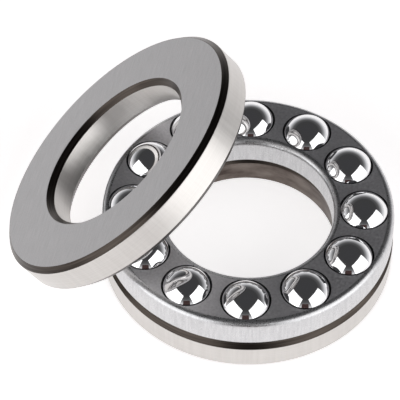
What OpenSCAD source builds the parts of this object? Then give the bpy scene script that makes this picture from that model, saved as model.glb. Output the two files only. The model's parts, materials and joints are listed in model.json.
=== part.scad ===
// Single-direction thrust ball bearing, taken apart by hand: the housing
// washer lies flat with the caged balls on it, and the shaft washer leans
// with its low edge on the bench and its raceway side on the cage.
// Origin: centre of the housing washer's seat face. +Z: bearing axis, upwards.

/* [Washers] */
// Outside diameter of the housing washer
housing_od = 52; // [51.8:0.1:66]
// Bore of the shaft washer, which grips the shaft
shaft_bore = 30; // [24:0.1:30.2]
// How much wider the housing washer's bore is, so that the shaft clears it
bore_step = 2; // [0.6:0.1:3]
// How much smaller the shaft washer is outside, so that it clears the housing
od_step = 0.2; // [0:0.05:0.8]
// Thickness of each washer
washer_t = 6.2; // [5.2:0.1:9]
// Chamfer on the outer edges of the washers
edge_chamfer = 0.9; // [0.3:0.05:1.2]
// Chamfer at both ends of the bores
bore_chamfer = 1; // [0.3:0.05:1.3]

/* [Raceways] */
// Depth of the raceway groove
race_depth = 0.98; // [0.5:0.01:1.2]
// Groove radius as a multiple of the ball radius
race_conformity = 1.05; // [1.04:0.01:1.12]
// Gap left between a ball and the bottom of its groove
race_gap = 0.03; // [0.02:0.01:0.08]

/* [Balls] */
// Ball diameter
ball_d = 9.5; // [7.6:0.01:9.6]
// Angle from +X to the first ball
ball_start = 11; // [0:1:29]

/* [Cage] */
// Thickness of the pressed sheet
sheet_t = 0.5; // [0.3:0.05:0.55]
// Clearance between a ball and its pocket
pocket_gap = 0.1; // [0.05:0.01:0.2]
// Clearance between a ball and the upright walls of the cage
wall_gap = 0.15; // [0.12:0.01:0.2]
// Height of the cage's flat top above the ball centres
cage_rise = 2.3; // [2:0.05:2.8]
// Depth of the cage's lower rim below the ball centres
cage_drop = 2.9; // [2.6:0.05:3.1]
// Outside radius of the bend between the flat top and the walls
bend_r = 1.2; // [0.9:0.05:1.4]
// Outside radius of the bend under the crimped lips
lip_bend_r = 0.35; // [0.2:0.05:0.4]
// Width of the crimped lips that hold the plate
lip_w = 0.7; // [0.4:0.05:0.9]
// Clearance round the edges of the plate
plate_gap = 0.05; // [0.02:0.01:0.1]

/* [Leaning washer] */
// Angle of the leaning shaft washer from level
lean_angle = 42; // [30:1:45]
// Gap under the leaning washer's lowest edge and along its line of rest
lean_gap = 0.05; // [0.03:0.01:0.2]

/* [Hidden] */
ball_count = 12;
$fn = 96;

housing_bore = shaft_bore + bore_step;
shaft_od = housing_od - od_step;
ball_r = ball_d / 2;
pitch_r = (housing_od + shaft_bore) / 4;
race_r = ball_r * race_conformity;
ball_z = washer_t - race_depth + race_gap + ball_r;

// The cage is as wide as the balls, their clearance and its own two walls
cage_half_w = ball_r + wall_gap + sheet_t;
cage_inner_r = pitch_r - cage_half_w;
cage_outer_r = pitch_r + cage_half_w;
cage_top = ball_z + cage_rise;
cage_foot = ball_z - cage_drop;

// The leaning washer touches a ball or the cage's outer bend, whichever is
// further out, and its lower edge stands just clear of the bench
lean_z = (shaft_od / 2 - edge_chamfer) * sin(lean_angle) + lean_gap;
lean_on_bend = cage_outer_r - bend_r
    + ((cage_top - bend_r - lean_z) * cos(lean_angle) + bend_r + lean_gap) / sin(lean_angle);
lean_on_ball = pitch_r
    + ((ball_z - lean_z) * cos(lean_angle) + ball_r + lean_gap) / sin(lean_angle);
lean_x = -max(lean_on_bend, lean_on_ball);

// Half section of a washer with four chamfered edges, its raceway side up
module washer_section(od, bore) {
    r0 = bore / 2;
    r1 = od / 2;
    difference() {
        polygon([
            [r0 + bore_chamfer, 0], [r1 - edge_chamfer, 0],
            [r1, edge_chamfer], [r1, washer_t - edge_chamfer],
            [r1 - edge_chamfer, washer_t], [r0 + bore_chamfer, washer_t],
            [r0, washer_t - bore_chamfer], [r0, bore_chamfer]
        ]);
        translate([pitch_r, washer_t - race_depth + race_r]) circle(r = race_r);
    }
}

// Rectangle in the half section, with round upper and lower corners
module rounded_section(r0, r1, z0, z1, upper_r, lower_r) {
    translate([r0, z0 + lower_r]) square([r1 - r0, z1 - z0 - upper_r - lower_r]);
    translate([r0 + upper_r, z0 + lower_r]) square([r1 - r0 - 2 * upper_r, z1 - z0 - lower_r]);
    translate([r0 + lower_r, z0]) square([r1 - r0 - 2 * lower_r, z1 - z0 - upper_r]);
    for (r = [r0 + upper_r, r1 - upper_r]) translate([r, z1 - upper_r]) circle(r = upper_r);
    for (r = [r0 + lower_r, r1 - lower_r]) translate([r, z0 + lower_r]) circle(r = lower_r);
}

// Centre of a ball, counted from 1
module at_ball(number) {
    rotate([0, 0, ball_start + 360 / ball_count * (number - 1)])
        translate([pitch_r, 0, ball_z])
            children();
}

module all_pockets() {
    for (number = [1:ball_count]) at_ball(number) sphere(r = ball_r + pocket_gap);
}

module housing_washer() {
    color("#cfcbc8") rotate_extrude() washer_section(housing_od, housing_bore);
}

module shaft_washer() {
    color("#9a999d")
        translate([lean_x, 0, lean_z])
            rotate([0, -lean_angle, 0])
                translate([0, 0, washer_t])
                    mirror([0, 0, 1])
                        rotate_extrude() washer_section(shaft_od, shaft_bore);
}

// Channel ring pressed from sheet: pierced flat top, two walls and crimped lips
module cage_shell() {
    color("#5a5a60")
        difference() {
            rotate_extrude()
                difference() {
                    rounded_section(cage_inner_r, cage_outer_r, cage_foot, cage_top, bend_r, lip_bend_r);
                    translate([0, sheet_t])
                        rounded_section(cage_inner_r + sheet_t, cage_outer_r - sheet_t, cage_foot,
                                        cage_top - 2 * sheet_t, bend_r - sheet_t, 0.1);
                    translate([cage_inner_r + sheet_t + lip_w, cage_foot - sheet_t])
                        square([2 * (cage_half_w - sheet_t - lip_w), 3 * sheet_t]);
                }
            all_pockets();
        }
}

// Flat ring that closes the channel from below, held by the crimped lips
module cage_plate() {
    color("#77777c")
        difference() {
            rotate_extrude()
                translate([cage_inner_r + sheet_t + plate_gap, cage_foot + sheet_t])
                    square([2 * (cage_half_w - sheet_t - plate_gap), sheet_t]);
            all_pockets();
        }
}

module ball(number) {
    color("#e6e6ea") at_ball(number) sphere(r = ball_r);
}

housing_washer();
shaft_washer();
cage_shell();
cage_plate();
ball(1);  // ball_01
ball(2);  // ball_02
ball(3);  // ball_03
ball(4);  // ball_04
ball(5);  // ball_05
ball(6);  // ball_06
ball(7);  // ball_07
ball(8);  // ball_08
ball(9);  // ball_09
ball(10);  // ball_10
ball(11);  // ball_11
ball(12);  // ball_12
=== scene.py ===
# Single-direction thrust ball bearing, opened on a bench: the housing washer
# lies flat, the caged balls stand on it, and the shaft washer leans on them.
import json
import math

import bmesh
import bpy
from mathutils import Matrix, Vector


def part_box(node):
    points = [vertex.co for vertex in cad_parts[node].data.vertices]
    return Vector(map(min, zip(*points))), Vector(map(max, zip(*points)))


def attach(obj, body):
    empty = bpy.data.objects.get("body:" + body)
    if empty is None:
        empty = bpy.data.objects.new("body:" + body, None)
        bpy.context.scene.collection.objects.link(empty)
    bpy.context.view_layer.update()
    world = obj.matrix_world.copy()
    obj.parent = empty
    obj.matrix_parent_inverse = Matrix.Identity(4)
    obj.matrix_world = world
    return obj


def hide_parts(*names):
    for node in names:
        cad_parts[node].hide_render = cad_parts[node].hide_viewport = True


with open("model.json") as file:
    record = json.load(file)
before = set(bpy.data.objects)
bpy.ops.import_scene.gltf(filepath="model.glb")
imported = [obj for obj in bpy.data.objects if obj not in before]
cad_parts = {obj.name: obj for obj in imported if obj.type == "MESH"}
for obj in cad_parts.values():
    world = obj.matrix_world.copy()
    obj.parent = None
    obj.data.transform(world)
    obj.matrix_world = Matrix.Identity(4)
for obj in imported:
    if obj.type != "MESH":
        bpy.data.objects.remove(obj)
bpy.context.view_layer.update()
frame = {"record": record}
mm = 0.001


# ---------------------------------------------------------------- housing washer
# The flat ring that sits in the machine's housing. It is turned from bearing
# steel, hardened, then ground on its faces, rim and bore, and the raceway groove
# is ground and polished. Its chamfers are painted near black, a little brown, as
# painted shade for the dark that they reflect, and the bore is painted dark brown
# as painted shade for the shaded inside of the ring.

def node(finish, kind, inputs=None, **settings):
    """One shader node of a finish; an input is a number, a colour or another node's socket."""
    made = finish.node_tree.nodes.new("ShaderNode" + kind)
    for name, value in settings.items():
        setattr(made, name, value)
    for name, value in (inputs or {}).items():
        if isinstance(value, bpy.types.NodeSocket):
            finish.node_tree.links.new(value, made.inputs[name])
        else:
            made.inputs[name].default_value = value
    return made


def new_steel(name, colour, roughness):
    """Bare steel of one colour; the caller adds the marks that its tool leaves."""
    finish = bpy.data.materials.new(name)
    finish.use_nodes = True
    shader = finish.node_tree.nodes["Principled BSDF"]
    shader.inputs["Base Color"].default_value = (*colour, 1)
    shader.inputs["Metallic"].default_value = 1.0
    shader.inputs["Roughness"].default_value = roughness
    return finish, shader


def marks(finish, per_mm, detail=3.0, around_axis=False):
    """Noise with its own scale along X, Y and Z, in marks per millimetre, in the piece's own frame."""
    place = node(finish, "Attribute", attribute_name="own_place").outputs["Vector"]
    if around_axis:
        parts = node(finish, "SeparateXYZ", {"Vector": place})
        level = node(finish, "CombineXYZ", {"X": parts.outputs["X"], "Y": parts.outputs["Y"]})
        reach = node(finish, "VectorMath", {0: level.outputs[0]}, operation="LENGTH")
        place = node(finish, "CombineXYZ", {"X": reach.outputs["Value"], "Y": parts.outputs["Y"],
                                            "Z": parts.outputs["Z"]}).outputs[0]
    scaled = node(finish, "Mapping", {"Vector": place, "Scale": [count / mm for count in per_mm]})
    noise = node(finish, "TexNoise", {"Vector": scaled.outputs[0], "Scale": 1.0, "Detail": detail})
    return noise.outputs["Fac"]


def spread(finish, value, low, high):
    """A noise value stretched from low to high."""
    return node(finish, "MapRange", {"Value": value, "From Min": 0.3, "From Max": 0.7,
                                     "To Min": low, "To Max": high}).outputs["Result"]


def tint(finish, value, dark, light):
    """A colour between dark and light, by a value from 0 to 1."""
    return node(finish, "Mix", {"Factor": value, "A": (*dark, 1), "B": (*light, 1)},
                data_type="RGBA").outputs["Result"]


def scratch(finish, shader, height, depth):
    """Marks cut into the surface, with their depth in millimetres."""
    bump = node(finish, "Bump", {"Height": height, "Distance": depth * mm, "Strength": 1.0})
    finish.node_tree.links.new(bump.outputs[0], shader.inputs["Normal"])


def feed(finish, value, shader, name):
    """Lets a value of the finish set one input of its shader."""
    finish.node_tree.links.new(value, shader.inputs[name])


def ground_rim():
    """Rim and bore: grinding lines run round the ring, crossed by faint chatter."""
    finish, shader = new_steel("ground_rim", (0.60, 0.58, 0.56), 0.3)
    lines = marks(finish, (0.05, 0.05, 9.0))
    chatter = marks(finish, (1.6, 1.6, 0.12))
    both = node(finish, "Math", {0: lines, 1: chatter}, operation="ADD")
    half = node(finish, "Math", {0: both.outputs[0], 1: 0.5}, operation="MULTIPLY").outputs[0]
    feed(finish, tint(finish, spread(finish, half, 0.0, 1.0), (0.55, 0.53, 0.51), (0.66, 0.64, 0.62)),
         shader, "Base Color")
    feed(finish, spread(finish, chatter, 0.30, 0.38), shader, "Roughness")
    scratch(finish, shader, lines, 0.004)
    return finish


def ground_face():
    """Flat faces: matt, with fine crossing lines from the face grinder."""
    finish, shader = new_steel("ground_face", (0.47, 0.46, 0.47), 0.42)
    lines = marks(finish, (5.0, 0.25, 0.25), 4.0)
    grit = marks(finish, (3.0, 3.0, 3.0), 2.0)
    both = node(finish, "Math", {0: lines, 1: grit}, operation="ADD")
    half = node(finish, "Math", {0: both.outputs[0], 1: 0.5}, operation="MULTIPLY").outputs[0]
    feed(finish, tint(finish, spread(finish, half, 0.0, 1.0), (0.40, 0.395, 0.40), (0.53, 0.525, 0.53)),
         shader, "Base Color")
    feed(finish, spread(finish, grit, 0.36, 0.48), shader, "Roughness")
    scratch(finish, shader, half, 0.006)
    return finish


def chamfer_painted_shade():
    """Chamfers: near black, a little brown; the near black is painted shade for the dark that the chamfers
    reflect.
    """
    finish, shader = new_steel("chamfer_painted_shade", (0.05, 0.04, 0.036), 0.3)
    turning = marks(finish, (0.1, 0.1, 6.0))
    # painted shade: the near-black colour stands in for the dark that the chamfers reflect
    skin = tint(finish, spread(finish, turning, 0.0, 1.0), (0.03, 0.025, 0.022), (0.09, 0.075, 0.065))
    feed(finish, skin, shader, "Base Color")
    scratch(finish, shader, turning, 0.004)
    return finish


def bore_painted_shade():
    """Bore of the housing washer: painted shade, a clouded dark brown that stands in for the shade inside
    the ring and under the cage.
    """
    finish, shader = new_steel("bore_painted_shade", (0.17, 0.14, 0.125), 0.34)
    cloud = marks(finish, (0.22, 0.22, 0.5), 4.0)
    turning = marks(finish, (0.05, 0.05, 5.0))
    # painted shade: dark brown for the shaded inside of the ring that the bore shows
    feed(finish, tint(finish, spread(finish, cloud, 0.0, 1.0), (0.07, 0.052, 0.046), (0.21, 0.18, 0.16)),
         shader, "Base Color")
    feed(finish, spread(finish, turning, 0.26, 0.42), shader, "Roughness")
    scratch(finish, shader, turning, 0.005)
    return finish


def polished_race():
    """Raceway groove: ground and honed bright, with hair-fine lines round it."""
    finish, shader = new_steel("polished_race", (0.62, 0.61, 0.60), 0.12)
    lines = marks(finish, (4.0, 0.02, 0.02), 3.0, around_axis=True)
    feed(finish, spread(finish, lines, 0.08, 0.2), shader, "Roughness")
    scratch(finish, shader, lines, 0.002)
    return finish


def eased(corners, steps=4):
    """A closed outline with rounded corners, each (radius, height, rounding, finish of the next edge)."""
    outline = []
    for index, (r, z, rounding, finish) in enumerate(corners):
        here = Vector((r, z))
        before = Vector(corners[index - 1][:2]) - here
        after = Vector(corners[(index + 1) % len(corners)][:2]) - here
        turn = math.pi - before.angle(after)
        if rounding == 0 or turn < 0.01:
            outline.append((here, finish))
            continue
        reach = rounding * math.tan(turn / 2)
        start, end = here + before.normalized() * reach, here + after.normalized() * reach
        inward = (before.normalized() + after.normalized()).normalized()
        middle = here + inward * (rounding / math.cos(turn / 2))
        first, last = start - middle, end - middle
        for step in range(steps + 1):
            share = step / steps
            arm = first * math.sin((1 - share) * turn) + last * math.sin(share * turn)
            outline.append((middle + arm / math.sin(turn), finish))
    return outline


ROUND_STEPS = 240


def smooth_with_flat_faces(piece):
    """Round surfaces shade smoothly and flat ones stay flat right up to their edges."""
    piece.data.polygons.foreach_set("use_smooth", [True] * len(piece.data.polygons))
    weighted = piece.modifiers.new("weighted_normals", "WEIGHTED_NORMAL")
    weighted.mode = "FACE_AREA"
    weighted.weight = 100
    return piece


def stand(piece, where):
    """Puts a piece in its place, and keeps each point's place in the piece's own frame for the finish."""
    own = piece.data.attributes.new("own_place", "FLOAT_VECTOR", "POINT")
    for vertex, kept in zip(piece.data.vertices, own.data):
        kept.vector = vertex.co
    piece.data.transform(where)
    return piece


def turned(name, outline, finishes, where=Matrix()):
    """A ring turned from a closed outline of (radius, height) in millimetres, then put in its place."""
    mesh = bmesh.new()
    rings = []
    for step in range(ROUND_STEPS):
        angle = 2 * math.pi * step / ROUND_STEPS
        rings.append([mesh.verts.new((p.x * mm * math.cos(angle), p.x * mm * math.sin(angle), p.y * mm))
                      for p, _ in outline])
    for step in range(ROUND_STEPS):
        ring, following = rings[step], rings[(step + 1) % ROUND_STEPS]
        for index, (point, finish) in enumerate(outline):
            across = (index + 1) % len(outline)
            face = mesh.faces.new((ring[index], following[index], following[across], ring[across]))
            face.material_index = finish
    bmesh.ops.recalc_face_normals(mesh, faces=mesh.faces)
    data = bpy.data.meshes.new(name)
    mesh.to_mesh(data)
    mesh.free()
    piece = bpy.data.objects.new(name, data)
    bpy.context.scene.collection.objects.link(piece)
    for finish in finishes:
        data.materials.append(finish)
    return smooth_with_flat_faces(stand(piece, where))


ball_d = 9.5
race_depth = 0.98
race_conformity = 1.05
race_r = race_conformity * ball_d / 2
washer_t = 6.2
rim_chamfer = 0.9
bore_chamfer = 1.0
edge_ease = 0.12
race_ease = 0.06
FACE, RIM, CHAMFER, RACE, BORE = range(5)

housing_low, housing_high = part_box("housing_washer")
housing_r = (housing_high.x - housing_low.x) / 2 / mm
housing_bore_r = 16.0
shaft_bore_r = 15.0
pitch_r = (housing_r * 2 + shaft_bore_r * 2) / 4


def washer_outline(bore_r, rim_r):
    """Half section of a washer, its raceway up."""
    race_z = washer_t - race_depth + race_r
    lip = math.asin(math.sqrt(race_r ** 2 - (race_r - race_depth) ** 2) / race_r)
    groove = []
    groove_steps = 20
    for step in range(groove_steps + 1):
        swing = lip - 2 * lip * step / groove_steps
        ease = race_ease if step in (0, groove_steps) else 0
        finish = FACE if step == groove_steps else RACE
        groove.append((pitch_r + race_r * math.sin(swing), race_z - race_r * math.cos(swing), ease, finish))
    return eased([
        (bore_r + bore_chamfer, 0, edge_ease, FACE),
        (rim_r - rim_chamfer, 0, edge_ease, CHAMFER),
        (rim_r, rim_chamfer, edge_ease, RIM),
        (rim_r, washer_t - rim_chamfer, edge_ease, CHAMFER),
        (rim_r - rim_chamfer, washer_t, edge_ease, FACE),
        *groove,
        (bore_r + bore_chamfer, washer_t, edge_ease, CHAMFER),
        (bore_r, washer_t - bore_chamfer, edge_ease, BORE),
        (bore_r, bore_chamfer, edge_ease, CHAMFER),
    ])


face_finish, rim_finish = ground_face(), ground_rim()
chamfer_finish, race_finish = chamfer_painted_shade(), polished_race()
housing_washer = turned("housing_washer_ground", washer_outline(housing_bore_r, housing_r),
                        [face_finish, rim_finish, chamfer_finish, race_finish, bore_painted_shade()])
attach(housing_washer, "housing")
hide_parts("housing_washer")


# ---------------------------------------------------------------- shaft washer
# The ring that grips the shaft. It is the same ring as the housing washer with a
# smaller bore, turned over so that its raceway faces the balls. Here it is off
# its seat and leans with its rim on the bench.

shaft_bore = next(m for m in frame["record"]["mounts"] if m["name"] == "shaft_bore")
shaft_rim_r = 25.9
turn_over = Matrix.Rotation(math.pi, 4, "X")
to_middle = Matrix.Translation((0, 0, -washer_t / 2 * mm))
lean = Vector((0, 0, 1)).rotation_difference(Vector(shaft_bore["axis"])).to_matrix().to_4x4()
shaft_washer = turned("shaft_washer_ground", washer_outline(shaft_bore_r, shaft_rim_r),
                      [face_finish, rim_finish, chamfer_finish, race_finish, rim_finish],
                      Matrix.Translation(shaft_bore["pos_m"]) @ lean @ turn_over @ to_middle)
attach(shaft_washer, "shaft")
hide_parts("shaft_washer")


# ---------------------------------------------------------------- cage shell
# A channel ring pressed from half-millimetre steel sheet. Its flat top is pierced
# with one pocket for each ball, coined to the ball's curve, and its two walls end
# in lips that are crimped over the plate.

ball_count = 12
ball_start = math.radians(11)
shell_low, shell_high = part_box("cage_shell")
cage_top = shell_high.z / mm
cage_foot = shell_low.z / mm
cage_outer_r = (shell_high.x - shell_low.x) / 2 / mm
cage_inner_r = 2 * pitch_r - cage_outer_r
sheet_t = 0.5
bend_r = 1.2
lip_w = 0.7
lip_ease = 0.3
sheared_ease = 0.12
inner_ease = 0.1
ball_z = 10.0
pocket_gap = 0.1
pocket_r = ball_d / 2 + pocket_gap
coined_w = 0.16
SHEET_TOP, SHEET_WALL, POCKET = range(3)


def sheet_top():
    """Flat top of the cage: dark phosphated sheet with the fine grain of the rolling mill."""
    finish, shader = new_steel("cage_sheet_top", (0.78, 0.77, 0.79), 0.48)
    grain = marks(finish, (2.2, 2.2, 2.2), 5.0)
    feed(finish, tint(finish, spread(finish, grain, 0.0, 1.0), (0.70, 0.69, 0.71), (0.86, 0.85, 0.87)),
         shader, "Base Color")
    feed(finish, spread(finish, grain, 0.40, 0.56), shader, "Roughness")
    scratch(finish, shader, grain, 0.012)
    return finish


def sheet_wall():
    """Walls and bends, burnished by the press tool: brighter, with draw marks up and down."""
    finish, shader = new_steel("cage_sheet_wall", (0.62, 0.62, 0.63), 0.3)
    drawn = marks(finish, (2.4, 2.4, 0.3), 4.0)
    grain = marks(finish, (5.0, 5.0, 5.0), 2.0)
    feed(finish, tint(finish, spread(finish, drawn, 0.0, 1.0), (0.56, 0.56, 0.57), (0.66, 0.66, 0.67)),
         shader, "Base Color")
    feed(finish, spread(finish, grain, 0.24, 0.4), shader, "Roughness")
    scratch(finish, shader, grain, 0.008)
    return finish


def pocket_painted_shade():
    """Coined pocket edges, painted near black as painted shade for the dark gap round each ball."""
    finish, shader = new_steel("cage_pocket_edge", (0.05, 0.05, 0.055), 0.4)
    grain = marks(finish, (3.0, 3.0, 3.0), 3.0)
    # painted shade: near black for the dark gap between each ball and its pocket
    feed(finish, tint(finish, spread(finish, grain, 0.0, 1.0), (0.03, 0.03, 0.034), (0.08, 0.08, 0.085)),
         shader, "Base Color")
    return finish


def pierced_flat(mesh, height, inner_r, outer_r, hole_r, finish):
    """A flat ring with a round hole for each ball, in equal wedges of sheet; returns the hole rims."""
    side = ROUND_STEPS // ball_count
    wedge = math.pi / ball_count
    rims = []
    for number in range(ball_count):
        turn = ball_start + 2 * wedge * number
        border = [(inner_r, -wedge + 2 * wedge * step / side) for step in range(side)]
        border += [(inner_r + (outer_r - inner_r) * step / side, wedge) for step in range(side)]
        border += [(outer_r, wedge - 2 * wedge * step / side) for step in range(side)]
        border += [(outer_r + (inner_r - outer_r) * step / side, -wedge) for step in range(side)]
        loops = []
        for band in range(4):
            loop = []
            for r, angle in border:
                out = Vector((r * math.cos(angle) - pitch_r, r * math.sin(angle)))
                edge = out.length
                coined = min(hole_r + coined_w, edge - 0.01)
                reach = (edge, (edge + coined) / 2, coined, min(hole_r, edge - 0.02))[band]
                point = Vector((pitch_r, 0)) + out.normalized() * reach
                loop.append(mesh.verts.new((
                    mm * (point.x * math.cos(turn) - point.y * math.sin(turn)),
                    mm * (point.x * math.sin(turn) + point.y * math.cos(turn)), mm * height)))
            loops.append(loop)
        for outer, inner in zip(loops, loops[1:]):
            for index in range(len(outer)):
                after = (index + 1) % len(outer)
                face = mesh.faces.new((outer[index], outer[after], inner[after], inner[index]))
                face.material_index = POCKET if inner is loops[-1] else finish
        rims.append(loops[-1])
    return rims


def pocket_walls(mesh, upper_rims, lower_rims, upper_z, lower_z, finish, steps=6):
    """The coined edge of each pocket, which follows the ball from the upper rim to the lower one."""
    for number, (upper, lower) in enumerate(zip(upper_rims, lower_rims)):
        turn = ball_start + 2 * math.pi * number / ball_count
        centre = Vector((pitch_r * math.cos(turn), pitch_r * math.sin(turn), 0)) * mm
        loops = [upper]
        for step in range(1, steps):
            height = upper_z + (lower_z - upper_z) * step / steps
            reach = math.sqrt(pocket_r ** 2 - (height - ball_z) ** 2) * mm
            loop = []
            for vertex in upper:
                out = Vector((vertex.co.x - centre.x, vertex.co.y - centre.y, 0)).normalized()
                held = math.hypot(vertex.co.x - centre.x, vertex.co.y - centre.y) / (hole_at(upper_z) * mm)
                loop.append(mesh.verts.new(centre + out * reach * held + Vector((0, 0, height * mm))))
            loops.append(loop)
        loops.append(lower)
        for top, below in zip(loops, loops[1:]):
            for index in range(len(top)):
                after = (index + 1) % len(top)
                face = mesh.faces.new((top[index], top[after], below[after], below[index]))
                face.material_index = finish


def wall_strip(mesh, outline, finish):
    """An open outline of (radius, height) carried round the ring, in step with the pierced flats."""
    offset = ball_start - math.pi / ball_count
    rings = []
    for step in range(ROUND_STEPS):
        angle = offset + 2 * math.pi * step / ROUND_STEPS
        rings.append([mesh.verts.new((p.x * mm * math.cos(angle), p.x * mm * math.sin(angle), p.y * mm))
                      for p in outline])
    for step in range(ROUND_STEPS):
        ring, following = rings[step], rings[(step + 1) % ROUND_STEPS]
        for index in range(len(outline) - 1):
            face = mesh.faces.new((ring[index], following[index], following[index + 1], ring[index + 1]))
            face.material_index = finish


def wall_outline(side):
    """One wall of the channel: down from the flat top to the lip, and back up inside. Side 1 is outside."""
    skin = cage_outer_r if side > 0 else cage_inner_r
    corners = [
        (skin - side * bend_r, cage_top, 0, 0),
        (skin, cage_top, bend_r, 0),
        (skin, cage_foot, lip_ease, 0),
        (skin - side * (sheet_t + lip_w), cage_foot, sheared_ease, 0),
        (skin - side * (sheet_t + lip_w), cage_foot + sheet_t, sheared_ease, 0),
        (skin - side * sheet_t, cage_foot + sheet_t, inner_ease, 0),
        (skin - side * sheet_t, cage_top - sheet_t, bend_r - sheet_t, 0),
        (skin - side * bend_r, cage_top - sheet_t, 0, 0),
    ]
    return [point for point, _ in eased(corners, steps=8)]


def piece_from(mesh, name, finishes):
    """Joins the strips and flats of one piece of sheet and puts it in its place."""
    bmesh.ops.remove_doubles(mesh, verts=mesh.verts, dist=0.0005 * mm)
    bmesh.ops.recalc_face_normals(mesh, faces=mesh.faces)
    data = bpy.data.meshes.new(name)
    mesh.to_mesh(data)
    mesh.free()
    piece = bpy.data.objects.new(name, data)
    bpy.context.scene.collection.objects.link(piece)
    for finish in finishes:
        data.materials.append(finish)
    return smooth_with_flat_faces(stand(piece, Matrix()))


def hole_at(height):
    """Radius of a ball's pocket at a height."""
    return math.sqrt(pocket_r ** 2 - (height - ball_z) ** 2)


shell = bmesh.new()
flat_inner_r, flat_outer_r = cage_inner_r + bend_r, cage_outer_r - bend_r
under_top = cage_top - sheet_t
upper_rims = pierced_flat(shell, cage_top, flat_inner_r, flat_outer_r, hole_at(cage_top), SHEET_TOP)
lower_rims = pierced_flat(shell, under_top, flat_inner_r, flat_outer_r, hole_at(under_top), SHEET_TOP)
pocket_walls(shell, upper_rims, lower_rims, cage_top, under_top, POCKET)
for side in (1, -1):
    wall_strip(shell, wall_outline(side), SHEET_WALL)
cage_finishes = [sheet_top(), sheet_wall(), pocket_painted_shade()]
cage_shell = piece_from(shell, "cage_shell_pressed", cage_finishes)
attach(cage_shell, "cage")
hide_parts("cage_shell")


# ---------------------------------------------------------------- cage plate
# A flat pierced ring of the same sheet. It drops into the channel from below and
# rests on the crimped lips, and stops the balls from falling out.

plate_low, plate_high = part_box("cage_plate")
plate_foot, plate_top = plate_low.z / mm, plate_high.z / mm
plate_outer_r = (plate_high.x - plate_low.x) / 2 / mm
plate_inner_r = 2 * pitch_r - plate_outer_r
plate = bmesh.new()
upper_rims = pierced_flat(plate, plate_top, plate_inner_r, plate_outer_r, hole_at(plate_top), SHEET_TOP)
lower_rims = pierced_flat(plate, plate_foot, plate_inner_r, plate_outer_r, hole_at(plate_foot), SHEET_TOP)
pocket_walls(plate, upper_rims, lower_rims, plate_top, plate_foot, POCKET)
for radius in (plate_inner_r, plate_outer_r):
    wall_strip(plate, [Vector((radius, plate_top)), Vector((radius, plate_foot))], SHEET_WALL)
cage_plate = piece_from(plate, "cage_plate_pierced", cage_finishes)
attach(cage_plate, "cage")
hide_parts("cage_plate")


# ---------------------------------------------------------------- balls
# Twelve bearing balls of through-hardened chromium steel, lapped to a mirror. The
# pockets space them evenly round the raceway.

def lapped_ball():
    """Lapped to a mirror, with the faintest haze."""
    finish, shader = new_steel("lapped_ball", (0.86, 0.86, 0.87), 0.04)
    haze = marks(finish, (0.5, 0.5, 0.5), 3.0)
    feed(finish, spread(finish, haze, 0.02, 0.07), shader, "Roughness")
    return finish


ball_finish = lapped_ball()
cuts_per_side = 23
for number in range(ball_count):
    name = f"ball_{number + 1:02d}"
    low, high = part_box(name)
    sphere = bmesh.new()
    bmesh.ops.create_cube(sphere, size=1)
    bmesh.ops.subdivide_edges(sphere, edges=sphere.edges, cuts=cuts_per_side, use_grid_fill=True)
    for vertex in sphere.verts:
        place = vertex.co * 2
        square = Vector((place.x ** 2, place.y ** 2, place.z ** 2))
        vertex.co = Vector((
            place.x * math.sqrt(1 - square.y / 2 - square.z / 2 + square.y * square.z / 3),
            place.y * math.sqrt(1 - square.z / 2 - square.x / 2 + square.z * square.x / 3),
            place.z * math.sqrt(1 - square.x / 2 - square.y / 2 + square.x * square.y / 3),
        )).normalized() * ball_d / 2 * mm
    data = bpy.data.meshes.new(name + "_lapped")
    sphere.to_mesh(data)
    sphere.free()
    data.polygons.foreach_set("use_smooth", [True] * len(data.polygons))
    data.materials.append(ball_finish)
    ball = bpy.data.objects.new(name + "_lapped", data)
    bpy.context.scene.collection.objects.link(ball)
    stand(ball, Matrix.Translation((low + high) / 2))
    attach(ball, name)
    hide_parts(name)


# ---------------------------------------------------------------- bench and light
# A plain white bench top that glows a little, so that it stays pale under the
# rings, two soft boxes low at the sides, and a dim ceiling.

bench_mesh = bmesh.new()
bmesh.ops.create_circle(bench_mesh, cap_ends=True, segments=96, radius=4.0)
bench_data = bpy.data.meshes.new("bench")
bench_mesh.to_mesh(bench_data)
bench_mesh.free()
bench = bpy.data.objects.new("bench", bench_data)
bpy.context.scene.collection.objects.link(bench)
bench_finish = bpy.data.materials.new("bench_white")
bench_finish.use_nodes = True
bench_shader = bench_finish.node_tree.nodes["Principled BSDF"]
bench_shader.inputs["Base Color"].default_value = (0.8, 0.785, 0.785, 1)
bench_shader.inputs["Roughness"].default_value = 0.9
bench_shader.inputs["Specular IOR Level"].default_value = 0.1
bench_shader.inputs["Emission Color"].default_value = (1.0, 0.985, 0.985, 1)
bench_shader.inputs["Emission Strength"].default_value = 0.75
bench_data.materials.append(bench_finish)

view_azimuth = math.radians(13)
middle = Vector((-0.0090, 0.0010, 0.0105))


def soft_box(name, azimuth, elevation, distance, width, height, brightness):
    """A soft box at an angle from the viewer's side, aimed at the bearing."""
    turn = view_azimuth + math.radians(azimuth)
    rise = math.radians(elevation)
    out = Vector((math.sin(turn) * math.cos(rise), -math.cos(turn) * math.cos(rise), math.sin(rise)))
    lamp = bpy.data.lights.new(name, "AREA")
    lamp.shape = "RECTANGLE"
    lamp.size, lamp.size_y = width, height
    lamp.energy = brightness * math.pi * width * height
    box = bpy.data.objects.new(name, lamp)
    bpy.context.scene.collection.objects.link(box)
    box.location = middle + out * distance
    box.rotation_mode = "QUATERNION"
    box.rotation_quaternion = out.to_track_quat("Z", "Y")
    box.visible_camera = False


soft_box("soft_box_left", -58, 26, 0.75, 0.98, 0.62, 1.5)
soft_box("soft_box_right", 58, 26, 0.75, 0.98, 0.62, 1.5)

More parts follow.
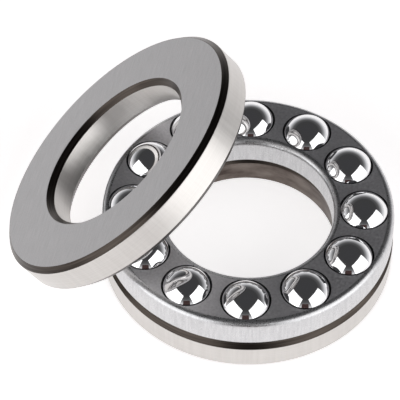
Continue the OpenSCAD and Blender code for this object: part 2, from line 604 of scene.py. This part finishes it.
# A dark card stands low in front, and keeps a dark bar between the two soft boxes
card_mesh = bmesh.new()
bmesh.ops.create_grid(card_mesh, x_segments=1, y_segments=1, size=0.5)
card_data = bpy.data.meshes.new("dark_card")
card_mesh.to_mesh(card_data)
card_mesh.free()
card = bpy.data.objects.new("dark_card", card_data)
bpy.context.scene.collection.objects.link(card)
card_way = Vector((math.sin(view_azimuth), -math.cos(view_azimuth), 0))
card.location = middle + card_way * 0.55 + Vector((0, 0, 0.10))
card.rotation_mode = "QUATERNION"
card.rotation_quaternion = card_way.to_track_quat("Z", "Y")
card.scale = (0.26, 0.24, 1)
card_finish = bpy.data.materials.new("card_dark")
card_finish.use_nodes = True
card_shader = card_finish.node_tree.nodes["Principled BSDF"]
card_shader.inputs["Base Color"].default_value = (0.05, 0.024, 0.022, 1)
card_shader.inputs["Roughness"].default_value = 0.9
card_data.materials.append(card_finish)
card.visible_camera = False

ceiling = bpy.data.worlds.new("studio")
bpy.context.scene.world = ceiling
ceiling.use_nodes = True
sky = ceiling.node_tree
direction = sky.nodes.new("ShaderNodeTexCoord")
height_of = sky.nodes.new("ShaderNodeSeparateXYZ")
sky.links.new(direction.outputs["Generated"], height_of.inputs[0])
fade = sky.nodes.new("ShaderNodeValToRGB")
sky.links.new(height_of.outputs["Z"], fade.inputs["Fac"])
shades = fade.color_ramp
shades.elements[0].position, shades.elements[0].color = 0.0, (0.9, 0.89, 0.89, 1)
shades.elements[1].position, shades.elements[1].color = 1.0, (0.05, 0.05, 0.053, 1)
for position, shade in ((0.10, 0.75), (0.28, 0.32), (0.45, 0.10), (0.65, 0.05)):
    shades.elements.new(position).color = (shade, shade, shade * 1.02, 1)
sky.links.new(fade.outputs["Color"], sky.nodes["Background"].inputs["Color"])
sky.nodes["Background"].inputs["Strength"].default_value = 1.0
bpy.context.scene.view_settings.view_transform = "Standard"


# ---------------------------------------------------------------- camera
# A long lens looks down on the bearing from in front.

view_elevation = math.radians(51)
view_distance = 0.42
back = Vector((math.sin(view_azimuth) * math.cos(view_elevation),
               -math.cos(view_azimuth) * math.cos(view_elevation), math.sin(view_elevation)))
camera_data = bpy.data.cameras.new("camera")
camera_data.lens = 212
camera_data.sensor_width = 36
camera_data.clip_start, camera_data.clip_end = 0.01, 20
camera = bpy.data.objects.new("camera", camera_data)
bpy.context.scene.collection.objects.link(camera)
camera.location = middle + back * view_distance
camera.rotation_mode = "QUATERNION"
camera.rotation_quaternion = back.to_track_quat("Z", "Y")
bpy.context.scene.camera = camera
